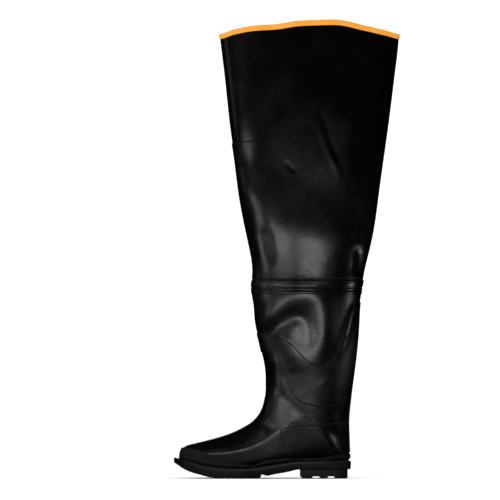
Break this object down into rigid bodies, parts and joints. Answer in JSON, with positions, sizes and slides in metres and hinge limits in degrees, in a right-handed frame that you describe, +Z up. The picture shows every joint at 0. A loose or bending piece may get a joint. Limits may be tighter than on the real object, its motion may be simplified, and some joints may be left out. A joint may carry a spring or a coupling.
{
  "type": "hip wader",
  "caption": "Left hip-high rubber wading boot with lugged outsole, block heel, knee-seam tape, thigh panel and orange collar binding, standing empty.",
  "frame": {"origin": "on the floor, on the tread of the heel's middle pad", "axes": "+Z up, the toe points towards -X, the outer side of the left boot faces -Y"},
  "size_m": [0.3941, 0.1238, 0.8001],
  "materials": {
    "boot_rubber": "gloss",
    "sole_rubber": "satin",
    "binding_rubber": "satin",
    "lining_cloth": "matte"
  },
  "bodies": {
    "root": {"outsole": "sole_rubber", "heel": "sole_rubber", "insole": "lining_cloth", "upper": "boot_rubber", "thigh_shaft": "boot_rubber", "knee_band": "boot_rubber", "collar_binding": "binding_rubber", "toe_bumper": "sole_rubber", "foxing": "sole_rubber", "quarter_outer": "boot_rubber", "quarter_inner": "boot_rubber", "leg_panel": "boot_rubber", "back_stay": "boot_rubber", "thigh_panel": "boot_rubber"}
  },
  "joints": []
}
